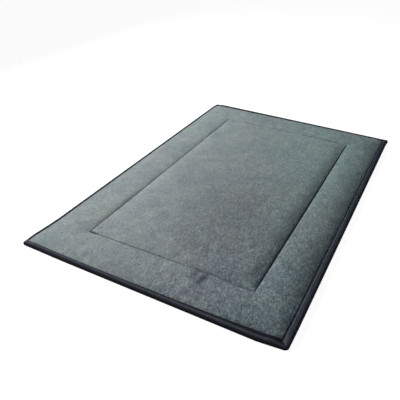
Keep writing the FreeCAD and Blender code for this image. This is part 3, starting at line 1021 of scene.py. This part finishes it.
def make_stitch(pitch, thread):
    """One stitch along X: a short thread whose ends dive into the cloth."""
    select_alone()
    bpy.ops.mesh.primitive_cylinder_add(
        vertices=8, radius=thread / 2.0, depth=pitch * 0.5, end_fill_type="NGON",
        location=(pitch / 2.0, 0, 0), rotation=(0, math.pi / 2.0, 0))
    stitch = bpy.context.object
    bpy.ops.object.transform_apply(location=True, rotation=True, scale=True)
    for end in (-1.0, 1.0):
        bpy.ops.object.mode_set(mode="EDIT")
        bpy.ops.mesh.select_mode(type="FACE")
        bpy.ops.mesh.select_all(action="DESELECT")
        bpy.ops.object.mode_set(mode="OBJECT")
        for face in stitch.data.polygons:
            face.select = face.normal.x * end > 0.9
        bpy.ops.object.mode_set(mode="EDIT")
        bpy.ops.mesh.extrude_region_move(
            TRANSFORM_OT_translate={"value": (end * pitch * 0.2, 0.0, -thread * 0.9)})
        bpy.ops.transform.resize(value=(0.7, 0.7, 0.7))
        bpy.ops.object.mode_set(mode="OBJECT")
    return stitch


def quilting_place(points, edge, above, sizes):
    """Lay a row of quilting stitches along one side of the seam, on the felt or under the base sheet."""
    x, y = edge_place(edge, points[:, 0], sizes.seam_inset)
    x, y = x + sizes.seam_shift[0], y + sizes.seam_shift[1]
    lift = 0.35 * sizes.thread + points[:, 2]
    z = felt_height(x, y, sizes) + lift if above else sizes.groove_depth - lift
    return np.stack([x - edge.forward[1] * points[:, 1], y + edge.forward[0] * points[:, 1], z], axis=1)


def binding_place(points, edge, above, sizes):
    """Lay a row of binding stitches along one edge, near the sewn edge of the tape's flange."""
    run, aside, up = points.T
    width = flange_width_at(edge, run) if above else sizes.flange_width
    depth = width - STITCH_INSET
    x, y = edge_place(edge, run, depth + aside)
    lift = 0.3 * sizes.thread + up
    z = LOWER_DENT - lift
    if above:
        fold_drop = TAPE_FOLD - np.sqrt(TAPE_FOLD**2 - np.maximum(TAPE_FOLD - depth, 0.0) ** 2)
        z = flange_top(x, y, depth, width, edge, sizes) - fold_drop + lift
    placed = np.stack([x, y, z], axis=1)
    pull_corners(placed)
    return placed


def sew_edges(name, sizes, pitch, inset, place):
    """Rows of stitches along the mat's four edges, above and below, as one piece.

    A row starts and ends at an inset from the mat's corners, and is laid by the place function."""
    rows = []
    for edge in mat_edges(sizes):
        length = edge.length - 2.0 * inset
        count = max(1, int(length / pitch))
        for above in (True, False):
            row = make_stitch(pitch, sizes.thread)
            apply_modifier(row, "ARRAY", count=count, use_relative_offset=False, use_constant_offset=True,
                           constant_offset_displace=(pitch, 0.0, 0.0))
            points = read_points(row)
            points[:, 0] += 0.5 * (length - count * pitch) + inset
            write_points(row, place(points, edge, above, sizes))
            rows.append(row)
    select_alone(*rows)
    bpy.ops.object.join()
    stitches = bpy.context.object
    stitches.name = stitches.data.name = name
    edit_whole(bpy.ops.mesh.normals_make_consistent, inside=False)
    return stitches


class MAT_OT_quilting_stitches(bpy.types.Operator):
    """Sew the rectangular quilting seam, on the felt and under the base sheet"""

    bl_idname = "mat.quilting_stitches"
    bl_label = "Quilting stitches"

    def execute(self, context):
        sizes = context.scene.mat_sizes
        stitches = sew_edges(
            "quilting_stitches", sizes, sizes.quilt_stitch, sizes.seam_inset, quilting_place)
        colour = context.scene.mat_colours.quilt_thread
        finish_piece(stitches, thread_material("quilting_thread", colour))
        return {"FINISHED"}


class MAT_OT_binding_stitches(bpy.types.Operator):
    """Sew the binding tape down along its two inner edges"""

    bl_idname = "mat.binding_stitches"
    bl_label = "Binding stitches"

    def execute(self, context):
        sizes = context.scene.mat_sizes
        stitches = sew_edges(
            "binding_stitches", sizes, sizes.binding_stitch, STITCH_START, binding_place)
        colour = context.scene.mat_colours.tape
        finish_piece(stitches, thread_material("binding_thread", colour))
        return {"FINISHED"}


# Stage


def add_window_light(scene):
    """A long soft light at the mat's left, low enough to shade the slopes that turn away from it."""
    place = Vector((-0.90, 0.0, 0.60))
    data = bpy.data.lights.new("window_light", "AREA")
    set_all(data, shape="RECTANGLE", size=2.4, size_y=0.5, energy=30.0)
    light = bpy.data.objects.new("window_light", data)
    light.location = place
    light.rotation_euler = (-place).to_track_quat("-Z", "Y").to_euler()
    scene.collection.objects.link(light)


def add_camera(scene):
    """The camera, at the photograph's viewing angle and distance."""
    focal_pixels = 460.7
    frame_pixels = 400.0
    middle_pixel = 221.8
    right = Vector((0.89083, 0.45393, 0.01910))
    down = Vector((0.26620, -0.48744, -0.83159))
    data = bpy.data.cameras.new("camera")
    set_all(data, sensor_width=36.0, lens=36.0 * focal_pixels / frame_pixels,
            shift_x=(frame_pixels / 2.0 - middle_pixel) / frame_pixels, clip_start=0.01, clip_end=100.0)
    camera = bpy.data.objects.new("camera", data)
    turn = Matrix((right, -down, right.cross(-down))).transposed().to_4x4()
    camera.matrix_world = Matrix.Translation((0.42033, -0.95558, 0.64897)) @ turn
    scene.collection.objects.link(camera)
    scene.camera = camera


def add_backdrop(scene):
    """A white backdrop that gives only a little blue light of its own."""
    world = bpy.data.worlds.new("studio")
    world.use_nodes = True
    tree = world.node_tree
    backdrop = tree.nodes["Background"]
    feed(tree, backdrop, {"Color": (1.0, 1.0, 1.0)})
    sky = add_node(tree, "Background", {"Color": (0.85, 0.96, 1.0), "Strength": 0.05})
    seen = add_node(tree, "LightPath", {})["Is Camera Ray"]
    mix = add_node(tree, "MixShader", {0: seen, 1: sky[0], 2: backdrop.outputs[0]})
    feed(tree, tree.nodes["World Output"], {"Surface": mix[0]})
    scene.world = world


class MAT_OT_stage(bpy.types.Operator):
    """Set up the pale floor, the soft lights and the camera"""

    bl_idname = "mat.stage"
    bl_label = "Stage"

    def execute(self, context):
        select_alone()
        bpy.ops.mesh.primitive_plane_add(size=24.0, location=(0, 0, 0))
        floor = context.object
        floor.name = "studio_floor"
        material, tree, shader, places = new_material("pale_floor")
        speck = add_node(tree, "TexNoise", {"Vector": places["Object"], "Scale": 3.0})["Fac"]
        pale = context.scene.mat_colours.floor
        paler = [min(1.0, 1.02 * value) for value in pale]
        feed(tree, shader, {"Base Color": mix_colour(tree, speck, pale, paler), "Roughness": 0.8,
                            "Specular IOR Level": 0.1, "Emission Color": (1.0, 1.0, 1.0),
                            "Emission Strength": 0.95})
        floor.data.materials.append(material)
        add_window_light(context.scene)
        add_backdrop(context.scene)
        context.scene.view_settings.view_transform = "Standard"
        add_camera(context.scene)
        return {"FINISHED"}


PIECES = (
    MAT_OT_stage,
    MAT_OT_felt_cover,
    MAT_OT_foam_slab,
    MAT_OT_base_sheet,
    MAT_OT_binding_tape,
    MAT_OT_quilting_stitches,
    MAT_OT_binding_stitches,
)


class MAT_PT_panel(bpy.types.Panel):
    """The mat's pieces, sizes and colours"""

    bl_idname = "MAT_PT_panel"
    bl_label = "Disinfection mat"
    bl_space_type = "VIEW_3D"
    bl_region_type = "UI"
    bl_category = "Mat"

    def draw(self, context):
        layout = self.layout
        for piece in PIECES:
            layout.operator(piece.bl_idname)
        for group in (context.scene.mat_sizes, context.scene.mat_colours):
            for name in group.__annotations__:
                layout.prop(group, name)


CLASSES = (MatSizes, MatColours, *PIECES, MAT_PT_panel)


def register():
    """Add the mat's classes and its settings to Blender."""
    for item in CLASSES:
        bpy.utils.register_class(item)
    bpy.types.Scene.mat_sizes = bpy.props.PointerProperty(type=MatSizes)
    bpy.types.Scene.mat_colours = bpy.props.PointerProperty(type=MatColours)


def unregister():
    """Take the mat's settings and classes out again."""
    del bpy.types.Scene.mat_colours
    del bpy.types.Scene.mat_sizes
    for item in reversed(CLASSES):
        bpy.utils.unregister_class(item)


def main():
    """Make the mat piece by piece."""
    register()
    bpy.ops.mat.stage()
    bpy.ops.mat.felt_cover()
    bpy.ops.mat.foam_slab()
    bpy.ops.mat.base_sheet()
    bpy.ops.mat.binding_tape()
    bpy.ops.mat.quilting_stitches()
    bpy.ops.mat.binding_stitches()


if __name__ == "__main__":
    main()
